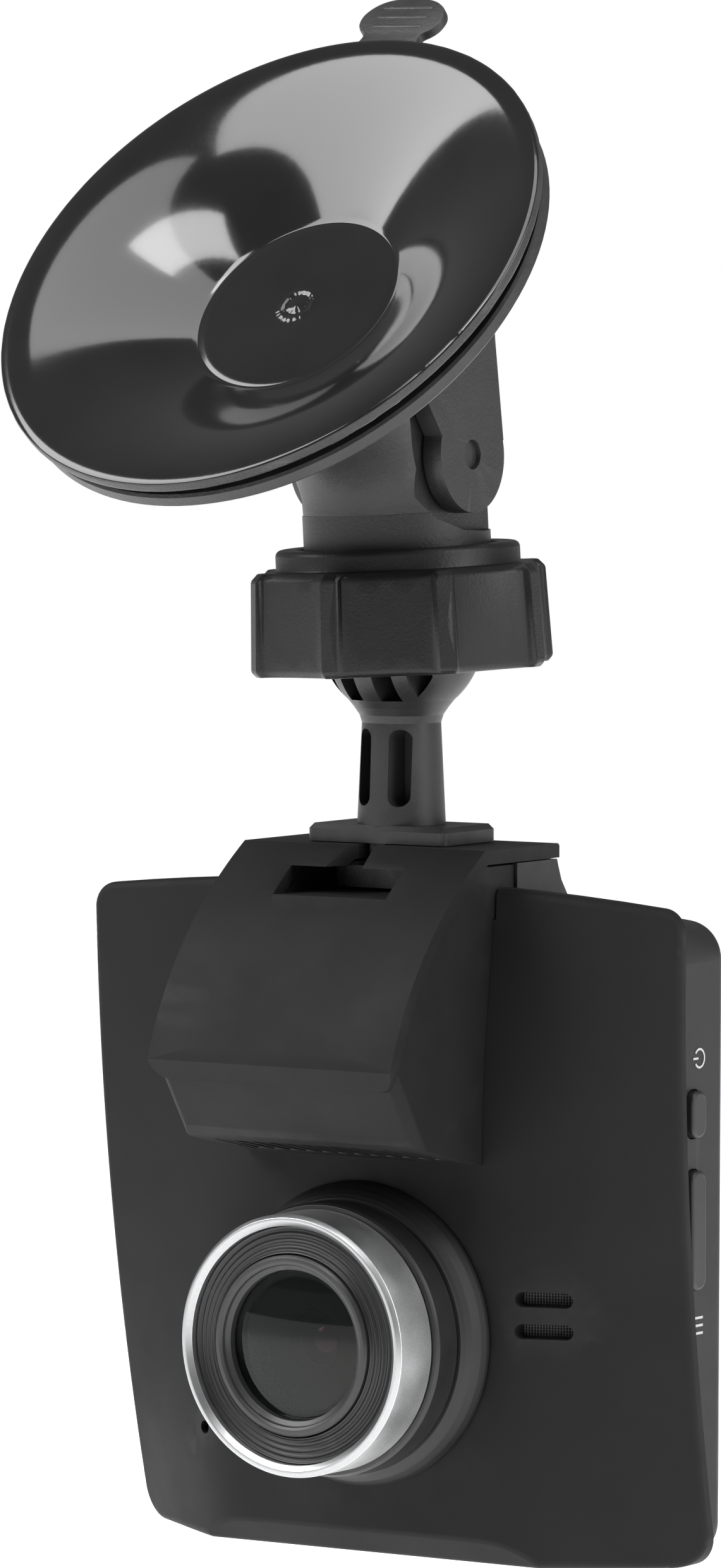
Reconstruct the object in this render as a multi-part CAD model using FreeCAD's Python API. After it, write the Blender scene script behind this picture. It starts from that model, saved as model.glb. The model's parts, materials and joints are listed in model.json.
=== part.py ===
import FreeCAD, Part
import math, os

# Dash camera on a suction mount, in millimetres.
# Working frame: ball centre at (0, 0, 0), +Z up, the lens looks along -Y, +X is the side with the power and mode buttons.
# The exported frame has its origin at the centre of the suction rim (see ORIGIN).
os.makedirs("parts", exist_ok=True)
V = FreeCAD.Vector
exp, log, sin, cos, rad = math.exp, math.log, math.sin, math.cos, math.radians

# ---------------- driving dimensions ----------------
ROLL = 2.6                 # the mount leans this much about ROLL_AXIS through the ball centre
ROLL_AXIS = V(0.552, -0.834, 0.0)
CUP_C = V(0.0, -21.9, 40.3)   # centre of the suction rim before the lean
CUP_TILT = 46.4            # angle between the suction axis and the neck axis
CUP_R = 30.6               # suction rim radius
CUP_FLAT_R = 11.5          # flat middle of the cup
CUP_DEPTH = 7.15           # depth of the flat middle with the lever closed
CUP_T = 1.35               # rim thickness of the cup
DISH_GAP = 1.2             # air between cup rim and dish rim
DISH_T = 1.95              # dish rim thickness
PIN_S = 31.0               # lever pin behind the rim plane
PIN_R = 1.5
PULL = 3.0                 # travel of the pull stem
LEVER_OPEN = 60.0          # degrees from closed to open
EAR_IN, EAR_OUT = 7.3, 9.5
NECK_R = 9.8
NUT_Z0, NUT_Z1, NUT_Z2 = -3.3, 7.5, 9.7
NUT_R0, NUT_R1, COLLAR_R = 16.3, 15.9, 12.8
RIBS, RIB_PHASE = 8, 5.5
BALL_R = 8.5
STEM_R0, STEM_R1 = 4.07, 4.65
PLATE = (17.2, 10.1, -19.4, -21.25)
FOOT = (12.6, 9.2, -23.65, -25.95)
SLIDE = 16.0               # travel that takes the camera off its foot
TOP_W, BOT_W = 36.6, 35.25    # half width of the front cover, top and bottom
COV_TOP, COV_TOP_SIDE, COV_BOT = -25.0, -27.0, -95.7
REAR_W = 34.55
REAR_Y = 8.8
WALL = 1.6
HOOD_W = 15.0
LENS_Z = -72.3
FACE_Y = -7.0

ORIGIN = FreeCAD.Rotation(ROLL_AXIS, ROLL).multVec(CUP_C)

# ---------------- helpers ----------------
def box(x0, x1, y0, y1, z0, z1):
    return Part.makeBox(x1 - x0, y1 - y0, z1 - z0, V(x0, y0, z0))

def cyl(r, p0, p1):
    p0, p1 = V(*p0), V(*p1)
    d = p1 - p0
    return Part.makeCylinder(r, d.Length, p0, d)

def wire(points):
    return Part.makePolygon([V(*p) for p in points] + [V(*points[0])])

def prism_x(yz, x0, x1):
    return Part.Face(wire([(x0, y, z) for y, z in yz])).extrude(V(x1 - x0, 0, 0))

def prism_y(xz, y0, y1):
    return Part.Face(wire([(x, y0, z) for x, z in xz])).extrude(V(0, y1 - y0, 0))

def prism_z(xy, z0, z1):
    return Part.Face(wire([(x, y, z0) for x, y in xy])).extrude(V(0, 0, z1 - z0))

def turn_z(rz):
    return Part.Face(wire([(r, 0, z) for r, z in rz])).revolve(V(0, 0, 0), V(0, 0, 1), 360)

def turn_lens(rd):
    """Revolve (radius, distance out of the front face) about the lens axis."""
    s = Part.Face(wire([(r, 0, d) for r, d in rd])).revolve(V(0, 0, 0), V(0, 0, 1), 360)
    s.rotate(V(0, 0, 0), V(1, 0, 0), 90)      # +Z becomes -Y
    s.translate(V(0, FACE_Y, LENS_Z))
    return s

def spline_face(segments):
    """A face from a closed chain; a segment of 2 points is a line, of more points a spline."""
    es = []
    for s in segments:
        pts = [V(*p) for p in s]
        if len(pts) == 2:
            es.append(Part.LineSegment(pts[0], pts[1]).toShape())
        else:
            c = Part.BSplineCurve()
            c.interpolate(pts)
            es.append(c.toShape())
    return Part.Face(Part.Wire(es))

def slot_y(x0, x1, z0, z1, y0, y1):
    """A slot with round ends, longer side along X or Z, extruded along Y."""
    w, h = x1 - x0, z1 - z0
    r = min(w, h) / 2.0
    if w > h:
        s = box(x0 + r, x1 - r, y0, y1, z0, z1)
        a, b = (x0 + r, z0 + r), (x1 - r, z0 + r)
    else:
        s = box(x0, x1, y0, y1, z0 + r, z1 - r)
        a, b = (x0 + r, z0 + r), (x0 + r, z1 - r)
    for c in (a, b):
        s = s.fuse(cyl(r, (c[0], y0, c[1]), (c[0], y1, c[1])))
    return s.removeSplitter()

def slot_x(y0, y1, z0, z1, x0, x1):
    w, h = y1 - y0, z1 - z0
    r = min(w, h) / 2.0 - 1e-4
    s = box(x0, x1, y0, y1, z0, z1)
    es = [e for e in s.Edges if abs(e.tangentAt(e.FirstParameter).x) > 0.99]
    return s.makeFillet(r * 0.9, es)

def fillet(s, r, pick, note=""):
    es = [e for e in s.Edges if pick(e)]
    try:
        t = s.makeFillet(r, es)
        if t.isValid() and t.Volume > 0:
            return t
    except Exception as err:
        pass
    print("no fillet", note, r, len(es))
    return s

def along(e, axis):
    if e.Curve.TypeId != "Part::GeomLine":
        return False
    return abs(getattr(e.tangentAt(e.FirstParameter), axis)) > 0.999

parts = {}

# placement of shapes made about the suction axis: local origin on the rim plane, +Z to the glass
SUCT = FreeCAD.Placement(CUP_C, FreeCAD.Rotation(V(1, 0, 0), CUP_TILT))
N = SUCT.Rotation.multVec(V(0, 0, 1))      # outward suction axis
U = SUCT.Rotation.multVec(V(0, 1, 0))      # up along the dish
PIN = CUP_C - N * PIN_S

def suct(s):
    s = s.copy()
    s.Placement = SUCT.multiply(s.Placement)
    return s

# ---------------- suction cup ----------------
LAND_R = CUP_R - 1.2           # inner edge of the narrow sealing land
def cup_front(r):
    t = max(0.0, min(1.0, (r - CUP_FLAT_R) / (LAND_R - CUP_FLAT_R)))
    return -CUP_DEPTH * (1 - t) ** 1.5

rr = [CUP_FLAT_R + (LAND_R - CUP_FLAT_R) * i / 8.0 for i in range(9)]
front = [(r, 0, cup_front(r)) for r in rr]
back = [(r, 0, cup_front(r) - 1.35 - 1.15 * max(0, (LAND_R - r) / (LAND_R - CUP_FLAT_R))) for r in rr]
prof = spline_face([
    [(0, 0, -CUP_DEPTH), (CUP_FLAT_R, 0, -CUP_DEPTH)], front, [(LAND_R, 0, 0), ((CUP_R - 0.2), 0, 0)],
    [((CUP_R - 0.2), 0, 0), (CUP_R, 0, -0.25)], [(CUP_R, 0, -0.25), (CUP_R, 0, -CUP_T + 0.2)], [(CUP_R, 0, -CUP_T + 0.2), ((CUP_R - 0.2), 0, -CUP_T)],
    [((CUP_R - 0.2), 0, -CUP_T), back[-1]], back[::-1], [back[0], (0, 0, back[0][2])], [(0, 0, back[0][2]), (0, 0, -CUP_DEPTH)]])
cup = prof.revolve(V(0, 0, 0), V(0, 0, 1), 360)
CUP_BACK = back[0][2]                      # back of the cup's thick middle
# gate mark in the middle of the cup
cup = cup.fuse(turn_z([(0, -CUP_DEPTH - 0.2), (1.9, -CUP_DEPTH - 0.2), (1.9, -CUP_DEPTH + 0.12), (1.5, -CUP_DEPTH + 0.12), (0.9, -CUP_DEPTH + 0.3), (0, -CUP_DEPTH + 0.35)]))
# pull tab with three ridges, bent a little back from the glass
TAB_A = 4.0
tab = [(-3.9, 29.6), (-3.6, 31.3), (-5.0, 32.6), (-5.25, 34.2), (-4.3, 35.8), (-2.0, 36.9)]
tab = prism_z(tab + [(-x, y) for x, y in tab[::-1]], -1.25, -0.15)
tab = fillet(tab, 1.2, lambda e: along(e, "z") and e.BoundBox.YMin > 30.5, "tab")
for y in (32.6, 34.0, 35.4):
    tab = tab.fuse(box(-2.6, 2.6, y - 0.2, y + 0.2, -0.3, 0.0))
tab.rotate(V(0, 30.1, -0.7), V(1, 0, 0), -4)
tab.rotate(V(0, 0, 0), V(0, 0, 1), -TAB_A)
cup = cup.fuse(tab).removeSplitter()
parts["suction_cup"] = suct(cup)

# ---------------- dish and neck, one moulding ----------------
d0 = -CUP_T - DISH_GAP
dish = turn_z([(0, -11.5), (9.6, -11.5), (12.2, -11.0), (28.2, d0 - 0.1), (29.7, d0), (30.0, d0 - 0.25), (30.0, d0 - DISH_T + 0.5), (29.5, d0 - DISH_T), (27.6, -5.7), (14.0, -13.6), (0, -13.6)])
def circ(c, zdir, r, n=24):
    """A closed spline circle whose start is on +X, so that lofted sections do not twist."""
    y = zdir.cross(V(1, 0, 0))
    y.normalize()
    pts = [c + V(1, 0, 0) * (r * cos(2 * math.pi * i / n)) + y * (r * sin(2 * math.pi * i / n)) for i in range(n)]
    b = Part.BSplineCurve()
    b.interpolate(pts, PeriodicFlag=True)
    return Part.Wire(b.toShape())
sections = [circ(V(0, 0, 11.5), V(0, 0, 1), NECK_R - 0.12), circ(V(0, -0.9, 17.5), V(0, -0.20, 0.98), 9.75), circ(V(0, -4.0, 23.0), V(0, -0.48, 0.877), 10.1), circ(CUP_C - N * 12.6, N, 11.6)]
hub = Part.makeLoft(sections, True, False)
neck = cyl(NECK_R, (0, 0, 8.2), (0, 0, 13.2)).fuse(cyl(10.0, (0, 0, 3.25), (0, 0, 8.3)))
for k in range(3):   # thread crests of the neck, cut as rings
    z = 3.9 + 1.5 * k
    neck = neck.cut(cyl(10.2, (0, 0, z), (0, 0, z + 0.55)).cut(cyl(9.65, (0, 0, z), (0, 0, z + 0.55))))
base = suct(dish).fuse(hub).fuse(neck)
# remove what the hub pushes past the dish face
base = base.cut(suct(turn_z([(0, -11.5), (9.6, -11.5), (12.2, -11.0), (28.2, d0 - 0.1), (29.7, d0), (40, d0), (40, 12), (0, 12)])))
base = base.cut(suct(cyl(3.65, (0, 0, -10), (0, 0, -27.0))))
base = base.cut(suct(cyl(6.2, (0, 0, -24.2), (0, 0, -36.0))).common(box(-6.2, 6.2, -30, 30, 12.6, 60)))
base = base.cut(Part.makeSphere(9.40, V(0, 0, 0)))
# flats for the lever's ears, over the whole swing
p = PIN
recess = [(p.y - 8.2, p.z - 1.0), (p.y - 7.6, p.z - 4.0), (p.y - 5.6, p.z - 6.4), (p.y - 2.6, p.z - 7.7), (p.y + 1.0, p.z - 8.0), (p.y + 20, p.z - 8.0), (p.y + 20, p.z + 60), (p.y - 24, p.z + 30), (p.y - 13.5, p.z + 8.0)]
for s in (1, -1):
    xs = (6.95, 20) if s > 0 else (-20, -6.95)
    tool = prism_x(recess, xs[0], xs[1])
    keep = suct(turn_z([(0, -14.4), (40, -4.4), (40, 5), (0, 5)]))     # the dish itself stays whole
    base = base.cut(tool.cut(keep))
# relief behind the neck for the lever's back plate
relief = prism_x([(p.y + 8.4, p.z - 1.0), (p.y + 6.85, p.z + 2.6), (p.y + 3.4, p.z + 8.2), (p.y + 2.9, p.z + 12.0), (p.y + 3.3, p.z + 22.0), (p.y + 20, p.z + 22.0), (p.y + 20, p.z - 1.0)], -20, 20)
base = base.cut(relief.cut(keep))
a, b = PIN - N * 0.4, PIN + N * (PULL + 0.4)
hole = Part.makeCylinder(PIN_R + 0.12, 40, V(-20, a.y, a.z), V(1, 0, 0)).fuse(Part.makeCylinder(PIN_R + 0.12, 40, V(-20, b.y, b.z), V(1, 0, 0)))
d = (b - a)
q = V(0, -d.z, d.y); q.normalize(); q = q * (PIN_R + 0.12)
hole = hole.fuse(prism_x([((a + q).y, (a + q).z), ((b + q).y, (b + q).z), ((b - q).y, (b - q).z), ((a - q).y, (a - q).z)], -20, 20))
base = base.cut(hole).removeSplitter()
parts["base_dish"] = base

# ---------------- pull stem, pin, lever ----------------
st = turn_z([(0, CUP_BACK - 0.02), (8.6, CUP_BACK - 0.02), (8.6, CUP_BACK - 0.9), (4.6, CUP_BACK - 1.2), (3.5, CUP_BACK - 1.5), (3.5, -33.6), (0, -33.6)])
st = st.cut(cyl(PIN_R + 0.03, (-6, 0, -PIN_S), (6, 0, -PIN_S)))
st = st.cut(box(-6, -2.6, -6, 6, -36, -26.5)).cut(box(2.6, 6, -6, 6, -36, -26.5))
parts["pull_stem"] = suct(st)
parts["lever_pin"] = cyl(PIN_R, (-EAR_OUT + 0.5, p.y, p.z), (EAR_OUT - 0.5, p.y, p.z))

ear = [(p.y + 6.05, p.z + 1.2), (p.y + 5.3, p.z + 12.0), (p.y + 6.0, p.z + 22.5), (p.y + 8.4, p.z + 32.0), (p.y + 6.2, p.z + 34.0),
       (p.y + 2.6, p.z + 32.5), (p.y - 1.2, p.z + 24.2), (p.y - 8.9, p.z + 12.1), (p.y - 9.2, p.z + 7.4), (p.y - 5.6, p.z + 2.2)]
lev = prism_x(ear, -EAR_OUT, EAR_OUT).fuse(cyl(6.05, (-EAR_OUT, p.y, p.z), (EAR_OUT, p.y, p.z))).removeSplitter()
# open the channel between the ears: a back plate stays
chan = [(p.y + 14, p.z - 12), (p.y + 14, p.z + 9.4), (p.y + 4.0, p.z + 9.4), (p.y + 3.7, p.z + 12.0), (p.y + 4.0, p.z + 22.5), (p.y + 6.0, p.z + 31.3),
        (p.y - 3, p.z + 40), (p.y - 30, p.z + 12), (p.y - 12, p.z - 12)]
lev = lev.cut(prism_x(chan, -EAR_IN, EAR_IN))
# thumb lip at the free end
lev = lev.fuse(cyl(1.25, (-EAR_OUT, p.y + 8.1, p.z + 32.8), (EAR_OUT, p.y + 8.1, p.z + 32.8))).removeSplitter()
lev = lev.cut(cyl(PIN_R + 0.05, (-12, p.y, p.z), (12, p.y, p.z)))
lev = fillet(lev, 0.5, lambda e: abs(abs(e.BoundBox.XMin) - EAR_OUT) < 1e-3 and e.BoundBox.XLength < 1e-3 and e.BoundBox.DiagonalLength > 4.6, "lever")
parts["lock_lever"] = lev

# ---------------- clamp nut ----------------
def nut_wire(R, z):
    es = []
    step = 2 * math.pi / RIBS
    h = rad(3.2)
    for k in range(RIBS):
        a0 = rad(RIB_PHASE) + k * step
        P = lambda a, r: V(r * cos(a), r * sin(a), z)
        es.append(Part.LineSegment(P(a0 - h, R), P(a0 + h, R)).toShape())
        es.append(Part.LineSegment(P(a0 + h, R), P(a0 + h * 1.55, R - 0.75)).toShape())
        es.append(Part.Arc(P(a0 + h * 1.55, R - 0.75), P(a0 + step / 2, R - 1.75), P(a0 + step - h * 1.55, R - 0.75)).toShape())
        es.append(Part.LineSegment(P(a0 + step - h * 1.55, R - 0.75), P(a0 + step - h, R)).toShape())
    return Part.Wire(es)
nut = Part.makeLoft([nut_wire(NUT_R0 - 0.5, NUT_Z0), nut_wire(NUT_R0, NUT_Z0 + 0.5), nut_wire(NUT_R1, NUT_Z1 - 0.7), nut_wire(NUT_R1 - 0.7, NUT_Z1)], True, True)
nut = nut.fuse(turn_z([(0, 6.5), (COLLAR_R, 6.5), (COLLAR_R, NUT_Z2 - 0.4), (COLLAR_R - 0.4, NUT_Z2), (0, NUT_Z2)]))
nut = nut.cut(turn_z([(0, -1.9), (9.62, -1.9), (9.62, 2.8), (10.08, 3.1), (10.08, 8.4), (10.45, 8.6), (10.45, 20), (0, 20)]))
nut = nut.cut(cyl(9.0, (0, 0, -4), (0, 0, -1.8)).common(Part.makeSphere(8.62, V(0, 0, 0)).fuse(Part.makeCone(9.0, 7.9, 1.1, V(0, 0, -3.4), V(0, 0, 1)))))
nut = nut.removeSplitter()
parts["clamp_nut"] = nut

# ---------------- ball pad and slip ring ----------------
pad = Part.makeSphere(9.34, V(0, 0, 0)).cut(Part.makeSphere(8.54, V(0, 0, 0)))
pad = pad.common(Part.makeCone(0, 30, 30 / math.tan(rad(56)), V(0, 0, 0), V(0, 0, 1))).cut(cyl(2.6, (0, 0, 0), (0, 0, 20)))
parts["ball_pad"] = pad
ringp = cyl(9.56, (0, 0, -1.85), (0, 0, -0.45)).cut(Part.makeSphere(8.53, V(0, 0, 0)))
parts["slip_ring"] = ringp

# ---------------- ball, stem, plate and T foot, one moulding ----------------
ball = Part.makeSphere(BALL_R, V(0, 0, 0))
for x0, x1 in ((-6.5, -4.6), (-3.2, -1.1), (1.1, 3.2), (4.6, 6.5)):
    for s in (1, -1):
        ys = (1.1, 12) if s > 0 else (-12, -1.1)
        pocket = box(x0, x1, ys[0], ys[1], -12, 12).common(Part.makeCylinder(7.5, 24, V(0, -12, 0), V(0, 1, 0)))
        ball = ball.cut(pocket)
stem = Part.makeCone(STEM_R0, STEM_R1, 19.5 - 7.0, V(0, 0, -7.0), V(0, 0, -1))
flare = turn_z([(0, -6.3), (5.6, -6.38), (4.95, -7.2), (4.4, -8.0), (4.12, -8.9), (0, -8.9)])
stem = stem.fuse(flare)
for x0, x1 in ((-3.2, -1.1), (1.1, 3.2)):
    for s in (1, -1):
        ys = (1.0, 12) if s > 0 else (-12, -1.0)
        stem = stem.cut(slot_y(x0, x1, -17.45, -9.4, ys[0], ys[1]))
w, l, z1, z0 = PLATE
plate = box(-w / 2, w / 2, -l / 2, l / 2, z0, z1)
plate = fillet(plate, 0.8, lambda e: along(e, "z"), "plate corners")
try:
    plate = plate.makeChamfer(0.55, [e for e in plate.Edges if e.BoundBox.ZMin > z1 - 1e-3])
except Exception:
    print("no plate chamfer")
web = box(-0.95, 0.95, -l / 2 + 0.45, l / 2 - 0.45, FOOT[2] - 0.1, z0 + 0.1)
foot = box(-FOOT[0] / 2, FOOT[0] / 2, -FOOT[1] / 2, FOOT[1] / 2, FOOT[3], FOOT[2])
foot = fillet(foot, 2.4, lambda e: along(e, "z"), "foot")
bs = ball.fuse(stem).fuse(plate).fuse(web).fuse(foot).removeSplitter()
parts["ball_stem"] = bs

# ---------------- camera: front surface ----------------
def smooth(t):
    t = max(0.0, min(1.0, t))
    return t * t * (3 - 2 * t)
def y_mid(z):
    return -5.0 - 2.6 * smooth((-24.7 - z) / 25.0)
def y_edge(z):
    return -4.2 + 7.0 * max(0.0, (-27.0 - z) / 62.0) ** 2
def y_front(x, z):
    t = smooth((-40 - z) / 45.0)
    x0, w_ = 13.0 + 5.5 * t, 4.0 - 2.6 * t
    sp = lambda u: w_ * log(1 + exp((abs(u) - x0) / w_))
    W = TOP_W + (BOT_W - TOP_W) * (-27.0 - z) / 68.5
    return y_mid(z) + (y_edge(z) - y_mid(z)) * (sp(x) - sp(0)) / (sp(W) - sp(0))
ZS = [-18, -26, -34, -42, -50, -58, -66, -74, -82, -90, -98]
XS = [-42 + 84 * i / 24.0 for i in range(25)]
def front_block(dy):
    ws = []
    for z in ZS:
        c = Part.BSplineCurve()
        c.interpolate([V(x, y_front(x, z) + dy, z) for x in XS])
        a0, a1 = V(XS[0], y_front(XS[0], z) + dy, z), V(XS[-1], y_front(XS[-1], z) + dy, z)
        b0, b1 = V(XS[0], 30, z), V(XS[-1], 30, z)
        ws.append(Part.Wire([c.toShape(), Part.LineSegment(a1, b1).toShape(), Part.LineSegment(b1, b0).toShape(), Part.LineSegment(b0, a0).toShape()]))
    return Part.makeLoft(ws, True, False)

def outline(wt, wb, zt, zs, zb, rt, rb, y0, y1):
    """Prism along Y: straight bottom, leaning sides, arched top."""
    es = [Part.LineSegment(V(-wb, y0, zb), V(wb, y0, zb)).toShape(), Part.LineSegment(V(wb, y0, zb), V(wt, y0, zs)).toShape(),
          Part.Arc(V(wt, y0, zs), V(0, y0, zt), V(-wt, y0, zs)).toShape(), Part.LineSegment(V(-wt, y0, zs), V(-wb, y0, zb)).toShape()]
    s = Part.Face(Part.Wire(es)).extrude(V(0, y1 - y0, 0))
    s = s.makeFillet(rb, [e for e in s.Edges if along(e, "y") and e.BoundBox.ZMax < -60])
    s = s.makeFillet(rt, [e for e in s.Edges if along(e, "y") and e.BoundBox.ZMin > -60])
    return s

def y_part(z):                        # parting line between the two shells leans like the cover's edge
    return y_edge(z) + 1.5
def half(gap, side):
    zs = [-10 - 9.0 * i for i in range(11)]
    pts = [(-60, y_part(z) + gap, z) for z in zs]
    far = 60 * side
    f = spline_face([pts, [pts[-1], (-60, far, zs[-1])], [(-60, far, zs[-1]), (-60, far, zs[0])], [(-60, far, zs[0]), pts[0]]])
    return f.extrude(V(120, 0, 0))
front_half = lambda gap: half(-gap, -1)
back_half = lambda gap: half(gap, 1)

cover_o = outline(TOP_W, BOT_W, COV_TOP, COV_TOP_SIDE, COV_BOT, 2.6, 3.6, -40, 40)
cover_i = outline(TOP_W - 2.4, BOT_W - 2.4, COV_TOP - 2.4, COV_TOP_SIDE - 2.2, COV_BOT + 2.2, 1.5, 2.5, -40, 40)
blk0, blk1 = front_block(0.0), front_block(WALL)
cover_solid = cover_o.common(blk0).common(front_half(0))
# bevel along the lower edge of the flat middle
cover_solid = cover_solid.cut(prism_x([(-14, -92.6), (-7.9, -92.6), (-5.2, -95.9), (-5.2, -99), (-14, -99)], -60, 60))
cover_solid = fillet(cover_solid, 0.9, lambda e: e.BoundBox.YMax < y_part(e.CenterOfMass.z) - 0.6 and (e.BoundBox.DiagonalLength > 1.5), "cover edge")
front = cover_solid.cut(cover_i.common(blk1))

# notch in the cover and rear shell for the hood's saddle
saddle = box(-HOOD_W + 0.05, HOOD_W - 0.05, -12, 30, -28.6, -10)
front = front.cut(saddle)
# lens opening, speaker slots, reset hole
front = front.cut(cyl(14.75, (0, -12, LENS_Z), (0, 6, LENS_Z)))
SLOTS = ((21.4, -67.65), (21.4, -70.95))
for x, z in SLOTS:
    front = front.cut(slot_y(x - 3.0, x + 3.0, z - 0.78, z + 0.78, -12, 6))
RESET = (-20.8, -83.9)
front = front.cut(cyl(0.7, (RESET[0], -12, RESET[1]), (RESET[0], 8, RESET[1])))
# holes that take the hood's two screws
HOOD_SCREWS = ((-10.5, -45.0), (10.5, -45.0))
for x, z in HOOD_SCREWS:
    front = front.cut(cyl(1.15, (x, -12, z), (x, 6, z)))
# screw bosses
BOSS = ((-29.5, -33.0), (29.5, -33.0), (-28.5, -89.5), (28.5, -89.5))
blk_boss = front_block(0.9)
y_boss = lambda x, z: max(y_front(x, z) + 5.0, y_part(z) - 0.35)      # height of a boss behind the cover
for x, z in BOSS:
    boss = cyl(2.3, (x, y_front(x, z) - 2.0, z), (x, y_boss(x, z), z)).common(blk_boss)
    front = front.fuse(boss).cut(cyl(0.8, (x, y_front(x, z) + 2.3, z), (x, 20, z)))
front = front.removeSplitter()
parts["front_cover"] = front

# ---------------- rear case ----------------
rear_o = outline(REAR_W, REAR_W - 0.25, -26.9, -29.2, -94.9, 4.0, 3.6, -40, REAR_Y)
rear_o = fillet(rear_o, 1.7, lambda e: e.BoundBox.YMin > REAR_Y - 0.01, "rear edge")
rear = rear_o.common(back_half(0.06))
rear = rear.cut(outline(REAR_W - 1.5, REAR_W - 1.75, -28.6, -30.7, -93.4, 2.6, 2.2, -40, REAR_Y - 1.5))
# saddle block under the slab
rear = rear.cut(box(-HOOD_W + 0.05, HOOD_W - 0.05, -12, -1.02, -28.6, -10))
blockp = prism_x([(-1.0, -22.97), (6.75, -22.97), (6.95, -23.6), (7.6, -25.2), (8.8, -26.8), (8.8, -30.0), (-1.0, -30.0)], -HOOD_W, HOOD_W)
rear = rear.fuse(blockp.common(back_half(0.06)))
SCREEN = (28.4, 21.4, -55.5)      # half width, half height, centre of the screen window
# chamber for the T foot, and the slot for its web
SLOT_END = FOOT[1] / 2 + 0.25
chamber = box(-7.0, 7.0, -30, SLOT_END, FOOT[3] - 0.35, FOOT[2] + 0.15)
webslot = box(-1.25, 1.25, -30, PLATE[1] / 2 - 0.1, FOOT[2], -20)
rear = rear.cut(chamber).cut(webslot)
rear = rear.cut(box(-SCREEN[0], SCREEN[0], 6, 12, SCREEN[2] - SCREEN[1], SCREEN[2] + SCREEN[1]))
rear = rear.cut(box(-SCREEN[0] - 1.2, SCREEN[0] + 1.2, REAR_Y - 0.85, 12, SCREEN[2] - SCREEN[1] - 1.2, SCREEN[2] + SCREEN[1] + 1.2))
# side buttons
PB = (2.2, -48.3, 1.4, 2.45)       # y, z, half width, half length
MB = (2.2, -60.3, 1.4, 6.2)
for y, z, hw, hl in (PB, MB):
    rear = rear.cut(slot_x(y - hw - 0.15, y + hw + 0.15, z - hl - 0.15, z + hl + 0.15, 30, 38))
# rear keys
KEYS = [(-19.5 + 13.0 * k, -86.0) for k in range(4)]
for x, z in KEYS:
    rear = rear.cut(slot_y(x - 4.15, x + 4.15, z - 1.75, z + 1.75, 6, 12))
# card slot and power inlet on the -X side
CARD = (4.2, -62.0)
INLET = (4.2, -46.5)
rear = rear.cut(box(-38, -30, CARD[0] - 0.65, CARD[0] + 0.65, CARD[1] - 5.9, CARD[1] + 5.9))
rear = rear.cut(box(-38, -30, INLET[0] - 2.05, INLET[0] + 2.05, INLET[1] - 4.0, INLET[1] + 4.0))
# microphone hole
rear = rear.cut(cyl(0.5, (0, 5, -90.4), (0, 12, -90.4)))
for x, z in BOSS:
    y0 = y_boss(x, z) + 0.1
    post = cyl(2.7, (x, y0, z), (x, REAR_Y - 1.0, z))
    rear = rear.fuse(post.common(back_half(0.06)))
    rear = rear.cut(cyl(1.05, (x, -5, z), (x, 12, z))).cut(cyl(1.95, (x, max(REAR_Y - 1.9, y0 + 1.0), z), (x, 12, z)))
rear = rear.removeSplitter()
parts["rear_case"] = rear

# ---------------- hood: outer slab and inner housing ----------------
CURVE = [(-7.1, -21.35), (-12.1, -24.95), (-16.6, -29.1), (-19.7, -32.8), (-22.4, -37.0), (-25.05, -43.0)]
def off(pts, d):
    out = []
    for i, (y, z) in enumerate(pts):
        a0 = pts[max(0, i - 1)]; a1 = pts[min(len(pts) - 1, i + 1)]
        ty, tz = a1[0] - a0[0], a1[1] - a0[1]
        n_ = math.hypot(ty, tz)
        out.append((y - (tz / n_) * d, z + (ty / n_) * d))
    return out
T = 1.5
inner = off(CURVE, T)        # parallel curve inside the slab
inner[0] = (-6.6, -22.85)
segs = lambda pts, x: [(x, y, z) for y, z in pts]
X0 = -HOOD_W
slab_f = spline_face([
    segs([(7.2, -21.6), (6.95, -21.35)], X0), segs([(6.95, -21.35), (-7.1, -21.35)], X0), segs(CURVE, X0), segs([(-25.05, -43.0), (-23.95, -45.1)], X0),
    segs([(-23.95, -45.1), (-23.45, -44.95)], X0), segs([(-23.45, -44.95), inner[-1]], X0), segs(inner[::-1], X0), segs([(-6.6, -22.85), (7.2, -22.85)], X0), segs([(7.2, -22.85), (7.2, -21.6)], X0)])
slab = slab_f.extrude(V(2 * HOOD_W, 0, 0))
# rounded lower corners of the slab
for s in (1, -1):
    corner = prism_y([(s * (HOOD_W - 2.2), -46.5), (s * (HOOD_W + 1), -46.5), (s * (HOOD_W + 1), -42.9), (s * (HOOD_W - 2.2), -42.9)], -40, 0).cut(cyl(2.2, (s * (HOOD_W - 2.2), -41, -42.9), (s * (HOOD_W - 2.2), 1, -42.9)))
    slab = slab.cut(corner)
slab = fillet(slab, 0.35, lambda e: (abs(abs(e.BoundBox.XMin) - HOOD_W) < 1e-3 and e.BoundBox.XLength < 1e-3 and e.CenterOfMass.z > -42 and e.BoundBox.DiagonalLength > 10), "slab side")
window = box(-7.0, 7.0, -30, -6, FOOT[3] - 0.35, FOOT[2] + 0.15)
funnel = prism_z([(-1.25, -6.2), (-4.2, -14), (-4.2, -20), (4.0, -20), (2.3, -14), (1.25, -6.2)], FOOT[2], -18)
slab = slab.cut(window).cut(webslot).cut(funnel).removeSplitter()
parts["hood_slab"] = slab

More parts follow.
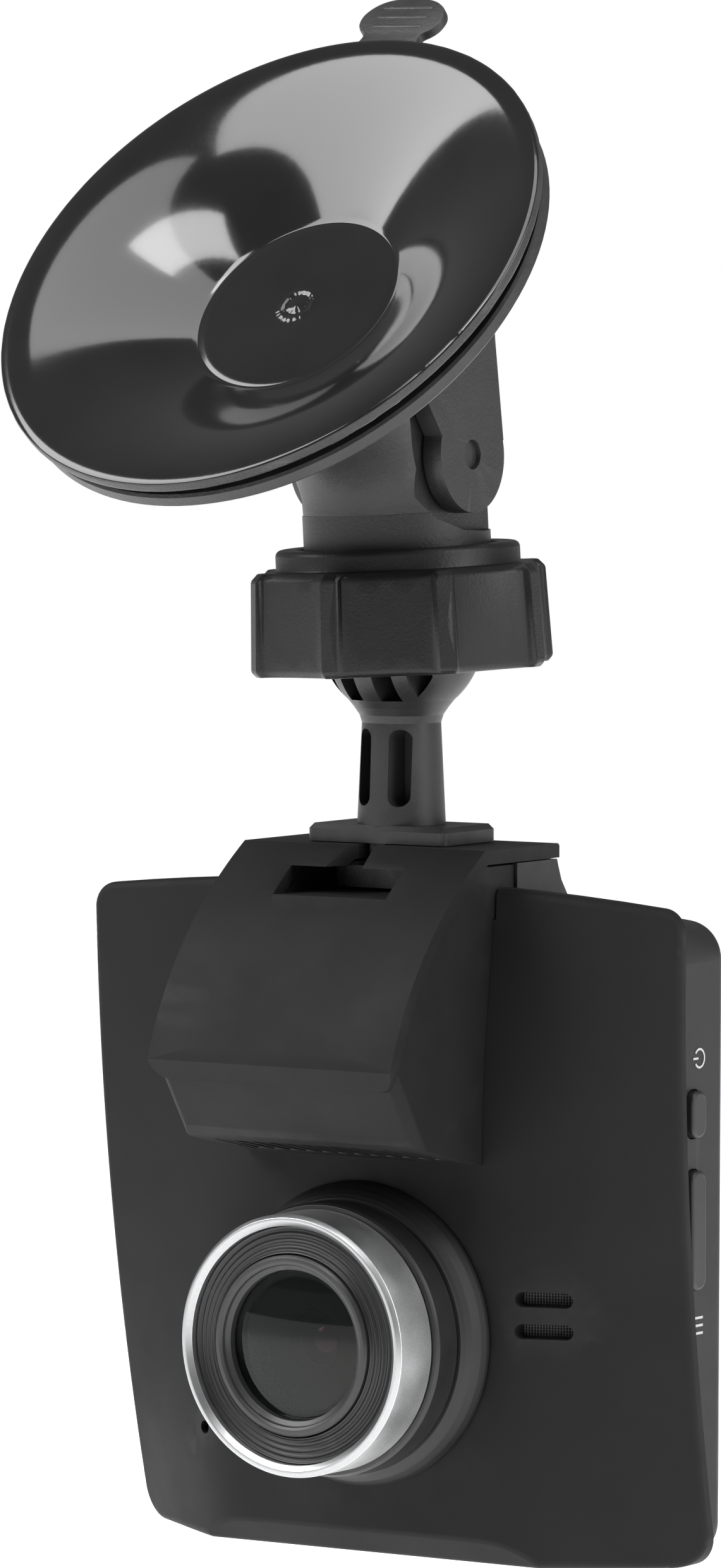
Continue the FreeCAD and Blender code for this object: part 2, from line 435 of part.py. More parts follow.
g = 0.25
ic = off(CURVE, T + g)
ic[0] = (-6.5, -22.85 - g)
hx = HOOD_W - 0.35
hood_f = spline_face([
    segs([(-1.15, -22.85 - g), (-6.5, -22.85 - g)], -hx), segs(ic, -hx), segs([ic[-1], (-23.2, -45.2)], -hx), segs([(-23.2, -45.2), (-19.9, -50.2)], -hx),
    segs([(-19.9, -50.2), (-19.1, -51.1)], -hx), segs([(-19.1, -51.1), (-18.0, -51.55)], -hx), segs([(-18.0, -51.55), (-3.0, -54.9)], -hx), segs([(-3.0, -54.9), (-1.15, -54.9)], -hx), segs([(-1.15, -54.9), (-1.15, -22.85 - g)], -hx)])
hood = hood_f.extrude(V(2 * hx, 0, 0))
# saddle part sits in the cover's notch; the rest ends on the cover's face
cutter = cover_o.common(front_block(-0.12)).cut(box(-HOOD_W + 0.1, HOOD_W - 0.1, -12, 30, -28.55, -10))
hood = hood.cut(cutter)
hood = hood.common(front_half(0.0).fuse(box(-20, 20, -60, -1.1, -60, -10)))
hood = fillet(hood, 1.2, lambda e: (abs(abs(e.BoundBox.XMin) - hx) < 1e-3 and e.BoundBox.XLength < 1e-3 and e.BoundBox.ZMax < -44 and e.BoundBox.YMax < -15 and e.BoundBox.DiagonalLength > 3.5), "hood corner")
# hollow from behind, leaving walls, a floor under the foot chamber
ih = off(CURVE, T + g + 1.5)
hol = [(-7.6, -29.2)] + [(-9.0, -27.6), (-13.0, -29.2), (-17.3, -33.6), (-20.6, -38.6), (-22.6, -42.6), (-22.0, -44.7), (-18.4, -49.7), (-5.0, -52.7), (-3.0, -52.7), (-3.0, -29.2)]
hood = hood.cut(prism_x(hol, -hx + 1.5, hx - 1.5))
hood = hood.cut(chamber).cut(webslot).cut(funnel)
# opening for the vent grille in the underside
ug0, ug1 = (-16.5, -51.885), (-8.6, -53.65)
hood = hood.cut(prism_x([(-16.5, -49.5), (-8.6, -49.5), (-8.6, -56), (-16.5, -56)], -12.5, 12.5))
# bosses that take the two hood screws
for x, z in HOOD_SCREWS:
    hood = hood.fuse(cyl(2.3, (x, -20.5, z), (x, y_front(abs(x) - 2.3, z) - 0.12, z)))
    hood = hood.cut(cyl(0.8, (x, -17.5, z), (x, 0, z)))
hood = hood.removeSplitter()
parts["hood_housing"] = hood

# vent grille: frame with slanting slats
def under(y):                    # height of the hood's underside
    return -51.55 + (y + 18.0) * (-54.9 + 51.55) / 15.0
gr = prism_x([(-16.4, under(-16.4) + 0.05), (-8.7, under(-8.7) + 0.05), (-8.7, under(-8.7) + 1.25), (-16.4, under(-16.4) + 1.25)], -12.4, 12.4)
gr_cut = None
for k in range(12):
    x = -11.6 + 2.0 * k
    c = prism_z([(x, -9.6), (x + 1.15, -9.6), (x - 1.0 + 1.15, -15.6), (x - 1.0, -15.6)], -60, -45)
    gr = gr.cut(c.common(box(-11.6, 11.6, -20, 0, -60, -40)))
parts["vent_grille"] = gr

# ---------------- lens ----------------
parts["lens_collar"] = turn_lens([(13.2, 0.68), (15.95, 0.68), (15.95, 1.4), (15.75, 2.0), (15.35, 2.9), (14.95, 3.5), (14.6, 3.75), (14.45, 3.9), (13.2, 3.9)])
parts["lens_barrel"] = turn_lens([(11.9, -3.0), (13.1, -3.0), (13.1, 4.0), (14.0, 4.0), (14.25, 4.3), (14.3, 5.0), (14.3, 7.6), (14.05, 8.0), (12.35, 8.0), (12.35, 9.4), (11.9, 9.4)])
parts["lens_ring"] = turn_lens([(12.45, 8.1), (13.65, 8.1), (13.65, 13.75), (13.25, 14.2), (12.75, 14.2), (12.4, 13.8), (12.45, 9.5)])
parts["lens_insert"] = turn_lens([(9.5, 9.6), (12.3, 9.6), (12.3, 13.0), (12.0, 13.0), (11.7, 12.7), (11.3, 13.1), (11.0, 12.85), (10.6, 13.3), (10.3, 13.1), (9.95, 13.6), (9.5, 13.6)])
parts["lens_retainer"] = turn_lens([(7.85, 9.6), (9.42, 9.6), (9.42, 13.85), (9.1, 14.1), (8.6, 14.1), (7.85, 13.4)])
parts["front_glass"] = turn_lens([(0, 11.4), (7.8, 11.4), (7.8, 12.6), (6.5, 12.95), (4.5, 13.25), (2.2, 13.42), (0, 13.46)])
parts["lens_cell"] = turn_lens([(2.9, 2.0), (7.0, 2.0), (7.0, 11.3), (6.6, 11.3), (3.3, 9.6), (2.9, 9.6)])
parts["inner_lens"] = turn_lens([(0, 6.2), (2.85, 6.2), (2.85, 7.6), (2.0, 8.3), (1.0, 8.65), (0, 8.75)])
parts["rear_lens"] = turn_lens([(0, 2.4), (2.85, 2.4), (2.85, 4.2), (1.6, 4.7), (0, 4.9)])
holder = turn_lens([(7.08, -1.0), (11.8, -1.0), (11.8, 9.4), (7.08, 9.4)])
hb = box(-9.5, 9.5, -5.8, -4.4, LENS_Z - 9.5, LENS_Z + 9.5).cut(cyl(5.5, (0, -8, LENS_Z), (0, 0, LENS_Z)))
holder = holder.fuse(hb).fuse(box(-9.5, 9.5, -4.5, -2.2, LENS_Z - 9.5, LENS_Z + 9.5).cut(box(-7.6, 7.6, -8, 0, LENS_Z - 7.6, LENS_Z + 7.6)))
holder = holder.cut(cyl(20, (0, -8, LENS_Z), (0, -3.7, LENS_Z)).cut(cyl(11.75, (0, -8, LENS_Z), (0, -3.7, LENS_Z))))
parts["lens_holder"] = holder.removeSplitter()
parts["image_sensor"] = box(-4.5, 4.5, -3.3, -2.2, LENS_Z - 4.5, LENS_Z + 4.5)
parts["sensor_board"] = box(-11, 11, -2.15, -1.15, LENS_Z - 11, LENS_Z + 11)

# ---------------- inside ----------------
BOARD_SCREWS = ((-29.6, -40.0), (29.6, -40.0), (-23.5, -79.7), (23.5, -79.7))
mb = prism_y([(-31.5, -37.5), (31.5, -37.5), (31.5, -60.0), (29.0, -66.0), (26.0, -74.0), (25.6, -82.2), (-25.6, -82.2), (-26.0, -74.0), (-29.0, -66.0), (-31.5, -60.0)], 1.6, 2.7)
for x, z in BOARD_SCREWS:
    mb = mb.cut(cyl(1.1, (x, 0, z), (x, 6, z)))
mb = mb.cut(cyl(5.6, (21.4, 0, -69.3), (21.4, 6, -69.3))).cut(box(21.4, 40.0, 0, 6, -73.15, -65.45))
parts["main_board"] = mb
parts["processor"] = box(-7, 7, -0.1, 1.58, -50.0, -38.5)
parts["memory_chip"] = box(10, 19, 0.3, 1.58, -50.0, -40.5)
parts["board_link"] = box(-5.0, 5.0, -1.1, 1.55, -81.0, -77.5)
sc = []
rc = parts["rear_case"]
for x, z in BOARD_SCREWS:
    rc = rc.fuse(cyl(1.75, (x, 2.75, z), (x, REAR_Y - 1.4, z)))
    rc = rc.cut(cyl(0.78, (x, 2.0, z), (x, REAR_Y - 1.7, z)))
    sc.append(cyl(1.7, (x, 0.55, z), (x, 1.55, z)).fuse(cyl(0.75, (x, 1.5, z), (x, 6.2, z))).cut(cyl(0.7, (x, 0.5, z), (x, 1.0, z))))
parts["rear_case"] = rc.removeSplitter()
parts["board_screws"] = Part.makeCompound(sc)
parts["battery"] = fillet(box(-13.0, 13.0, -2.7, -0.35, -54.0, -37.6), 0.5, lambda e: along(e, "z"), "battery")
parts["lcd_panel"] = box(-27.0, 27.0, 4.6, 6.6, -76.5, -34.5)
parts["lcd_panel"] = parts["lcd_panel"].fuse(box(-8, 8, 4.9, 5.2, -79.5, -76.4))
sw = box(-SCREEN[0] - 1.1, SCREEN[0] + 1.1, REAR_Y - 0.80, REAR_Y, SCREEN[2] - SCREEN[1] - 1.1, SCREEN[2] + SCREEN[1] + 1.1)
parts["screen_window"] = fillet(sw, 1.0, lambda e: along(e, "y"), "window")
parts["screen_frame"] = box(-27.2, 27.2, 6.75, 7.85, SCREEN[2] - 20.9, SCREEN[2] + 20.9).cut(box(-25.0, 25.0, 6, 9, SCREEN[2] - 18.8, SCREEN[2] + 18.8))
# loudspeaker behind its two slots, with cloth mesh
parts["speaker"] = cyl(5.3, (21.4, 0.15, -69.3), (21.4, 3.3, -69.3)).cut(cyl(4.4, (21.4, 0.0, -69.3), (21.4, 0.7, -69.3)))
ya = max(y_front(17.3, z) for z in (-65.85, -69.3, -72.75)) + WALL + 0.10
yb = max(y_front(25.5, z) for z in (-65.85, -69.3, -72.75)) + WALL + 0.10
kink = max([0.0] + [y_front(17.3 + 0.82 * i, z) + WALL + 0.10 - ya - (yb - ya) * i / 10.0 for i in range(1, 10) for z in (-65.85, -69.3, -72.75)])
parts["speaker_mesh"] = prism_z([(17.3, ya + kink), (25.5, yb + kink), (25.5, yb + kink + 0.2), (17.3, ya + kink + 0.2)], -72.75, -65.85)
parts["microphone"] = cyl(1.9, (0, 5.0, -90.4), (0, 7.2, -90.4))
parts["card_socket"] = box(-31.4, -17.5, 2.75, 4.58, -69.5, -54.8).cut(box(-33, -19, 3.55, 4.6, -68.0, -56.0))
parts["power_socket"] = box(-34.2, -25.6, INLET[0] - 1.95, INLET[0] + 1.95, INLET[1] - 3.85, INLET[1] + 3.85)
ps = parts["power_socket"].cut(box(-40, -27.0, INLET[0] - 1.55, INLET[0] + 1.55, INLET[1] - 3.45, INLET[1] + 3.45))
ps = ps.fuse(box(-33.0, -26.9, INLET[0] - 0.35, INLET[0] + 0.35, INLET[1] - 2.6, INLET[1] + 2.6))
ps = ps.cut(box(-28.5, -20, 4.4, 8, -80, -20))
parts["power_socket"] = ps.common(box(-40, -20, 2.72, 10, -60, -30)).fuse(box(-31, -28.6, 2.72, 3.0, INLET[1] - 3.85, INLET[1] + 3.85)).removeSplitter()
PROUD = 0.75
TRAVEL = 0.35
def side_button(y, z, hw, hl):
    cap = slot_x(y - hw, y + hw, z - hl, z + hl, 31.9, REAR_W + PROUD)
    cap = fillet(cap, 0.35, lambda e: e.BoundBox.XMin > REAR_W + PROUD - 0.01, "side button")
    flange = box(31.9, 32.6, y - hw - 0.35, y + hw + 0.7, z - hl - 0.6, z + hl + 0.6)
    post = box(31.4, 32.0, 0.5, 1.5, z - 1.0, z + 1.0)
    return cap.fuse(flange).fuse(post).removeSplitter()
parts["power_button"] = side_button(*PB)
parts["mode_button"] = side_button(*MB)
for n_, (y, z, hw, hl) in (("power_switch", PB), ("mode_switch", MB)):
    parts[n_] = box(28.3, 30.6, -0.9, 1.58, z - 2.2, z + 2.2).fuse(box(30.5, 31.0, 0.5, 1.5, z - 0.8, z + 0.8)).removeSplitter()
# keys beside the screen, each on its own switch
ks = []
for k, (x, z) in enumerate(KEYS):
    cap = slot_y(x - 4.0, x + 4.0, z - 1.6, z + 1.6, 6.2, REAR_Y + 0.5)
    cap = fillet(cap, 0.3, lambda e: e.BoundBox.YMin > REAR_Y + 0.49, "key")
    fl = box(x - 4.6, x + 4.6, 6.2, 6.9, z - 2.2, z + 2.2)
    post = cyl(0.8, (x, 5.7, z), (x, 6.3, z))
    parts["key_%d" % (k + 1)] = cap.fuse(fl).fuse(post).removeSplitter()
    ks.append(box(x - 2.2, x + 2.2, 4.1, 5.0, z - 1.9, z + 1.9).fuse(cyl(0.9, (x, 4.9, z), (x, 5.32, z))))
parts["key_switches"] = Part.makeCompound(ks)
kb = box(-25.5, 25.5, 3.2, 4.05, -92.0, -83.2)
parts["key_board"] = kb
parts["reset_switch"] = box(RESET[0] - 2.0, RESET[0] + 2.0, 0.6, 3.15, RESET[1] - 0.6 - 1.6, RESET[1] + 1.6).fuse(cyl(0.6, (RESET[0], 0.2, RESET[1]), (RESET[0], 0.7, RESET[1]))).removeSplitter()
# fasteners
cs = []
for x, z in BOSS:
    yh = max(REAR_Y - 1.9, y_boss(x, z) + 1.1)
    tip = y_front(x, z) + 2.6
    s_ = cyl(1.75, (x, yh + 0.02, z), (x, yh + 1.0, z)).fuse(cyl(0.76, (x, tip, z), (x, yh + 0.1, z)))
    s_ = s_.cut(box(x - 1.1, x + 1.1, yh + 0.55, yh + 2, z - 0.2, z + 0.2)).cut(box(x - 0.2, x + 0.2, yh + 0.55, yh + 2, z - 1.1, z + 1.1))
    cs.append(s_)
parts["case_screws"] = Part.makeCompound(cs)
hs = []
for x, z in HOOD_SCREWS:
    yi = y_front(x, z) + WALL
    hs.append(cyl(1.7, (x, yi + 0.30, z), (x, yi + 1.0, z)).fuse(cyl(0.76, (x, -16.5, z), (x, yi + 0.4, z))))
parts["hood_screws"] = Part.makeCompound(hs)

# ---------------- export ----------------
MOUNT = {"suction_cup", "base_dish", "pull_stem", "lever_pin", "lock_lever", "clamp_nut", "ball_pad", "slip_ring"}
for name in sorted(parts):
    s = parts[name].copy()
    if name in MOUNT:
        s.rotate(V(0, 0, 0), ROLL_AXIS, ROLL)
    s.translate(-ORIGIN)
    n = len(s.Solids)
    if not s.isValid() or n == 0:
        print("PROBLEM", name, s.isValid(), n)
    if n == 1:
        s = s.Solids[0]
    else:
        s = Part.makeCompound(s.Solids)
    s.exportStep("parts/%s.step" % name)
    bb = s.BoundBox
    print("%-14s solids %d vol %9.2f  x %.1f..%.1f y %.1f..%.1f z %.1f..%.1f" % (name, n, s.Volume, bb.XMin, bb.XMax, bb.YMin, bb.YMax, bb.ZMin, bb.ZMax))
print("origin", tuple(ORIGIN), "N", tuple(FreeCAD.Rotation(ROLL_AXIS, ROLL).multVec(N)), "pin", tuple(FreeCAD.Rotation(ROLL_AXIS, ROLL).multVec(PIN) - ORIGIN))
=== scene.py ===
import bpy, bmesh, json, math
import numpy as np
from mathutils import Vector, Matrix, noise

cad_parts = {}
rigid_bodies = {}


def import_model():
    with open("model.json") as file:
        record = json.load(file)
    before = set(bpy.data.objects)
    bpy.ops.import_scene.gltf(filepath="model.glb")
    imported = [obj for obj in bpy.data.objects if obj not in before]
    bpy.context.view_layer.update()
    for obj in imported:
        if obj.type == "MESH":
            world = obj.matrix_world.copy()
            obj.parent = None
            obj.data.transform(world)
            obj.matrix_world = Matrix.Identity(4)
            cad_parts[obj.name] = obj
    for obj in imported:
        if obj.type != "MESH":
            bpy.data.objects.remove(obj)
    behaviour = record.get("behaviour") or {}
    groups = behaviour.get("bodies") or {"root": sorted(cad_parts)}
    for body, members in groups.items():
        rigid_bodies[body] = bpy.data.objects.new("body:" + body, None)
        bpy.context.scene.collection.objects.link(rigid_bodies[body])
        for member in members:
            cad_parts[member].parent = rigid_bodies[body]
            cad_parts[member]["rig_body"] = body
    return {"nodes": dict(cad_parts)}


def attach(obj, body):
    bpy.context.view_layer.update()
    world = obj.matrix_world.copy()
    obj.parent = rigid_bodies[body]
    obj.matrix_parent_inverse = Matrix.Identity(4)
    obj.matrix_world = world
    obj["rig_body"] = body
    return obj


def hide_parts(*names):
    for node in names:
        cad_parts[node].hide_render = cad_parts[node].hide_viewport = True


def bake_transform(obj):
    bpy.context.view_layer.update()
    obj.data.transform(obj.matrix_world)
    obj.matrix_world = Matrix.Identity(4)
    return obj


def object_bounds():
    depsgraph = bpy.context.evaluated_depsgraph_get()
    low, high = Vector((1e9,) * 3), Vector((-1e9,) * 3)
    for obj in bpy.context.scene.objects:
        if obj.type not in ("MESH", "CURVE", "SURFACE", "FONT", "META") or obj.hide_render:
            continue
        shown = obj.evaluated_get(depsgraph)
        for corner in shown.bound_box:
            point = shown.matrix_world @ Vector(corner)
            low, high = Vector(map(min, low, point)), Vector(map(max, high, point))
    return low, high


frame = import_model()
CAD_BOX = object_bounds()
sc = bpy.context.scene
sc.view_settings.view_transform = "Standard"
sc.view_settings.look = "None"

# ------------------------------------------------------------------ frames
ORIGIN = Vector((-1.5140848580482458, -22.90212810748517, 39.710201147702165))   # mm, working frame
ROLL = Matrix.Rotation(math.radians(2.6), 4, Vector((0.552, -0.834, 0.0)).normalized())
CUP_C = Vector((0.0, -21.9, 40.3))
CUP_TILT = math.radians(46.4)
LENS_Z, FACE_Y = -72.3, -7.0

def W(x, y, z):
    """working-frame millimetres to row-frame metres"""
    return (Vector((x, y, z)) - ORIGIN) * 0.001

TO_ROW = Matrix.Scale(0.001, 4) @ Matrix.Translation(-ORIGIN)
SUCT = TO_ROW @ ROLL @ Matrix.Translation(CUP_C) @ Matrix.Rotation(CUP_TILT, 4, "X")      # local +Z to the glass
LENS = TO_ROW @ Matrix.Translation(Vector((0, FACE_Y, LENS_Z))) @ Matrix.Rotation(math.radians(90), 4, "X")   # local +Z is out of the face
SUCT_N = (SUCT.to_3x3() @ Vector((0, 0, 1))).normalized()

# ------------------------------------------------------------------ materials
def nodes_of(name):
    m = bpy.data.materials.new(name)
    m.use_nodes = True
    nt = m.node_tree
    for n in list(nt.nodes):
        nt.nodes.remove(n)
    out = nt.nodes.new("ShaderNodeOutputMaterial")
    p = nt.nodes.new("ShaderNodeBsdfPrincipled")
    nt.links.new(p.outputs[0], out.inputs[0])
    tc = nt.nodes.new("ShaderNodeTexCoord")
    return m, nt, p, tc

def noise_tex(nt, tc, mm, detail=2.0, rough=0.5, dist=0.0, stretch=None):
    mp = nt.nodes.new("ShaderNodeMapping")
    s = 1000.0 / mm
    mp.inputs["Scale"].default_value = (s, s, s) if stretch is None else tuple(s * k for k in stretch)
    n = nt.nodes.new("ShaderNodeTexNoise")
    n.inputs["Scale"].default_value = 1.0
    n.inputs["Detail"].default_value = detail
    n.inputs["Roughness"].default_value = rough
    n.inputs["Distortion"].default_value = dist
    nt.links.new(tc.outputs["Object"], mp.inputs["Vector"])
    nt.links.new(mp.outputs[0], n.inputs["Vector"])
    return n.outputs["Fac"]

def remap(nt, sock, lo, hi, a=0.3, b=0.7):
    r = nt.nodes.new("ShaderNodeMapRange")
    r.inputs["From Min"].default_value = a
    r.inputs["From Max"].default_value = b
    r.inputs["To Min"].default_value = lo
    r.inputs["To Max"].default_value = hi
    nt.links.new(sock, r.inputs["Value"])
    return r.outputs[0]

def ramp(nt, sock, c0, c1, a=0.35, b=0.65):
    r = nt.nodes.new("ShaderNodeValToRGB")
    r.color_ramp.elements[0].position, r.color_ramp.elements[1].position = a, b
    r.color_ramp.elements[0].color = (*c0, 1)
    r.color_ramp.elements[1].color = (*c1, 1)
    nt.links.new(sock, r.inputs[0])
    return r.outputs[0]

def math_node(nt, op, a, b):
    n = nt.nodes.new("ShaderNodeMath")
    n.operation = op
    for i, v in enumerate((a, b)):
        if isinstance(v, (int, float)):
            n.inputs[i].default_value = v
        else:
            nt.links.new(v, n.inputs[i])
    return n.outputs[0]

def plastic(name, col, rough=0.5, grain=0.35, bump=0.25, height=0.02, var=0.14, rvar=0.07, wear=0.35, detail=3.0, spec=0.5, patch=9.0, sheen=0.0, coat=0.0, fine=None):
    """Moulded plastic: grain, soft patches, dust-like speckle and slightly polished edges."""
    m, nt, p, tc = nodes_of(name)
    big = noise_tex(nt, tc, patch, 4.0, 0.6)
    small = noise_tex(nt, tc, grain, detail, 0.55)
    tiny = noise_tex(nt, tc, (fine or grain * 0.4), 1.0, 0.5)
    c0 = tuple(c * (1 - var) for c in col)
    c1 = tuple(c * (1 + var) for c in col)
    base = ramp(nt, math_node(nt, "ADD", math_node(nt, "MULTIPLY", big, 0.6), math_node(nt, "MULTIPLY", small, 0.4)), c0, c1, 0.38, 0.62)
    geo = nt.nodes.new("ShaderNodeNewGeometry")
    edge = remap(nt, geo.outputs["Pointiness"], 0.0, wear, 0.515, 0.60)
    mix = nt.nodes.new("ShaderNodeMix")
    mix.data_type = "RGBA"
    nt.links.new(math_node(nt, "MULTIPLY", edge, remap(nt, noise_tex(nt, tc, 2.3, 3.0, 0.6), 0.2, 1.0, 0.35, 0.7)), mix.inputs["Factor"])
    nt.links.new(base, mix.inputs["A"])
    mix.inputs["B"].default_value = (*[min(1, c * 2.2 + 0.02) for c in col], 1)
    nt.links.new(mix.outputs["Result"], p.inputs["Base Color"])
    rr = math_node(nt, "SUBTRACT", remap(nt, big, rough - rvar, rough + rvar, 0.3, 0.7), math_node(nt, "MULTIPLY", edge, 0.25))
    nt.links.new(rr, p.inputs["Roughness"])
    b = nt.nodes.new("ShaderNodeBump")
    b.inputs["Strength"].default_value = bump
    b.inputs["Distance"].default_value = height * 0.001
    nt.links.new(math_node(nt, "ADD", small, math_node(nt, "MULTIPLY", tiny, 0.5)), b.inputs["Height"])
    nt.links.new(b.outputs[0], p.inputs["Normal"])
    p.inputs["Specular IOR Level"].default_value = spec
    p.inputs["Coat Weight"].default_value = coat
    if sheen:
        p.inputs["Sheen Weight"].default_value = sheen
        p.inputs["Sheen Roughness"].default_value = 0.5
    return m

M = {}
M["soft"] = plastic("soft_touch_black", (0.0070, 0.0071, 0.0076), rough=0.66, grain=0.16, bump=0.35, height=0.010, var=0.10, wear=0.25, spec=0.24, patch=14, sheen=0.01)
M["case"] = plastic("case_dark_grey", (0.018, 0.018, 0.0187), rough=0.52, grain=0.22, bump=0.45, height=0.014, var=0.12, wear=0.25, spec=0.36)
M["mount"] = plastic("grained_black_plastic", (0.0165, 0.0165, 0.0172), rough=0.46, grain=0.36, bump=0.85, height=0.045, var=0.20, wear=0.45, spec=0.5, detail=4.0)
M["nut"] = plastic("clamp_nut_black", (0.0065, 0.0065, 0.0068), rough=0.44, grain=0.34, bump=0.75, height=0.040, var=0.20, wear=0.55, spec=0.38, detail=4.0)
M["arm"] = plastic("arm_black", (0.018, 0.018, 0.0185), rough=0.42, grain=0.30, bump=0.55, height=0.030, var=0.18, wear=0.5, spec=0.5)
M["lever"] = plastic("lever_black", (0.019, 0.019, 0.0195), rough=0.48, grain=0.40, bump=0.85, height=0.045, var=0.2, wear=0.4, spec=0.5, detail=4.0)
M["satin"] = plastic("satin_black", (0.014, 0.014, 0.015), rough=0.38, grain=0.2, bump=0.25, height=0.012, var=0.15, wear=0.4)
M["key"] = plastic("button_black", (0.015, 0.015, 0.016), rough=0.42, grain=0.25, bump=0.3, height=0.015, var=0.15, wear=0.5)
M["gloss"] = plastic("gloss_black", (0.006, 0.006, 0.007), rough=0.07, grain=0.8, bump=0.05, height=0.01, var=0.2, rvar=0.02, wear=0.0, coat=0.3)
M["collar"] = plastic("collar_black", (0.0105, 0.0105, 0.0110), rough=0.50, grain=0.16, bump=0.3, height=0.010, var=0.10, wear=0.3)
M["baffle"] = plastic("baffle_black", (0.0030, 0.0034, 0.0034), rough=0.45, grain=1.5, bump=0.03, height=0.004, var=0.2, wear=0.0, spec=0.25)
M["retainer"] = plastic("retainer_grey", (0.030, 0.030, 0.031), rough=0.36, grain=0.3, bump=0.15, height=0.006, var=0.12, wear=0.2)
M["board"] = plastic("board_green", (0.010, 0.085, 0.035), rough=0.35, grain=0.6, bump=0.2, height=0.02, var=0.25)
M["chip"] = plastic("chip_black", (0.012, 0.012, 0.013), rough=0.5, grain=0.2, bump=0.3, height=0.02, var=0.2)
M["wrap"] = plastic("cell_wrap", (0.25, 0.26, 0.29), rough=0.35, grain=1.2, bump=0.3, height=0.03, var=0.1)

def metal(name, col, rough, flake=0.10, bump=0.3, height=0.01, var=0.12):
    m, nt, p, tc = nodes_of(name)
    p.inputs["Metallic"].default_value = 1.0
    f = noise_tex(nt, tc, flake, 2.0, 0.6)
    big = noise_tex(nt, tc, 6.0, 3.0, 0.5)
    nt.links.new(ramp(nt, math_node(nt, "ADD", math_node(nt, "MULTIPLY", f, 0.7), math_node(nt, "MULTIPLY", big, 0.3)), tuple(c * (1 - var) for c in col), tuple(min(1, c * (1 + var)) for c in col), 0.36, 0.64), p.inputs["Base Color"])
    nt.links.new(remap(nt, big, rough - 0.04, rough + 0.05, 0.3, 0.7), p.inputs["Roughness"])
    b = nt.nodes.new("ShaderNodeBump")
    b.inputs["Strength"].default_value = bump
    b.inputs["Distance"].default_value = height * 0.001
    nt.links.new(f, b.inputs["Height"])
    nt.links.new(b.outputs[0], p.inputs["Normal"])
    return m

M["silver"] = metal("silver_satin", (0.80, 0.805, 0.81), 0.40, flake=0.12, bump=0.55, height=0.012, var=0.16)
M["silver_edge"] = metal("silver_cut_edge", (0.46, 0.465, 0.47), 0.34, flake=0.3, bump=0.15, height=0.004, var=0.04)
M["steel"] = metal("plated_steel", (0.50, 0.50, 0.51), 0.30, flake=0.2, bump=0.2, height=0.006)

# glossy flexible PVC of the cup
def cup_material():
    m, nt, p, tc = nodes_of("cup_gloss_pvc")
    big = noise_tex(nt, tc, 11.0, 3.0, 0.5)
    mid = noise_tex(nt, tc, 1.6, 3.0, 0.5)
    fine = noise_tex(nt, tc, 0.25, 2.0, 0.6)
    nt.links.new(ramp(nt, big, (0.0060, 0.0060, 0.0064), (0.0085, 0.0085, 0.0090)), p.inputs["Base Color"])
    nt.links.new(math_node(nt, "ADD", remap(nt, big, 0.06, 0.09), remap(nt, fine, 0.0, 0.03)), p.inputs["Roughness"])
    b = nt.nodes.new("ShaderNodeBump")
    b.inputs["Strength"].default_value = 0.25
    b.inputs["Distance"].default_value = 0.00004
    nt.links.new(math_node(nt, "ADD", math_node(nt, "MULTIPLY", mid, 0.25), math_node(nt, "MULTIPLY", big, 1.2)), b.inputs["Height"])
    b2 = nt.nodes.new("ShaderNodeBump")
    b2.inputs["Strength"].default_value = 0.12
    b2.inputs["Distance"].default_value = 0.000006
    nt.links.new(fine, b2.inputs["Height"])
    nt.links.new(b.outputs[0], b2.inputs["Normal"])
    nt.links.new(b2.outputs[0], p.inputs["Normal"])
    p.inputs["Specular IOR Level"].default_value = 0.5
    p.inputs["Coat Weight"].default_value = 0.35
    p.inputs["Coat Roughness"].default_value = 0.05
    return m
M["cup"] = cup_material()
M["cup_edge"] = plastic("cup_trimmed_edge", (0.026, 0.026, 0.027), rough=0.40, grain=0.22, bump=1.0, height=0.08, var=0.45, wear=0.6, detail=5.0)

def glass(name, col, rough, film=0.0, trans=1.0, ior=1.45):
    m, nt, p, tc = nodes_of(name)
    f = noise_tex(nt, tc, 3.0, 2.0, 0.5)
    nt.links.new(ramp(nt, f, tuple(c * 0.97 for c in col), col), p.inputs["Base Color"])
    nt.links.new(remap(nt, f, rough, rough + 0.01), p.inputs["Roughness"])
    p.inputs["Transmission Weight"].default_value = trans
    p.inputs["IOR"].default_value = ior
    if film:
        p.inputs["Thin Film Thickness"].default_value = film
        p.inputs["Thin Film IOR"].default_value = 1.38
    return m
M["glass"] = glass("front_glass_coated", (0.0020, 0.0032, 0.0030), 0.020, film=105, trans=0.0, ior=1.5)
gp = [n for n in M["glass"].node_tree.nodes if n.type == "BSDF_PRINCIPLED"][0]
gp.inputs["Alpha"].default_value = 0.55          # the rest goes straight through to the baffle
gp.inputs["Coat Weight"].default_value = 0.15
gp.inputs["Specular IOR Level"].default_value = 0.25
gp.inputs["Coat Roughness"].default_value = 0.02

def coated(name, c0, c1, rough=0.05, film=420):
    m, nt, p, tc = nodes_of(name)
    f = noise_tex(nt, tc, 2.2, 1.0, 0.4)
    nt.links.new(ramp(nt, f, c0, c1, 0.4, 0.6), p.inputs["Base Color"])
    nt.links.new(remap(nt, f, rough, rough + 0.03), p.inputs["Roughness"])
    p.inputs["Specular IOR Level"].default_value = 1.0
    p.inputs["Coat Weight"].default_value = 1.0
    p.inputs["Coat Roughness"].default_value = 0.02
    p.inputs["Coat Tint"].default_value = (1.0, 0.35, 0.75, 1)
    p.inputs["Thin Film Thickness"].default_value = film
    p.inputs["Thin Film IOR"].default_value = 1.9
    return m
M["coat_pink"] = coated("lens_coat_pink", (0.05, 0.005, 0.03), (0.09, 0.01, 0.05), film=430)
M["coat_green"] = coated("lens_coat_green", (0.0, 0.016, 0.012), (0.004, 0.03, 0.02), film=260)
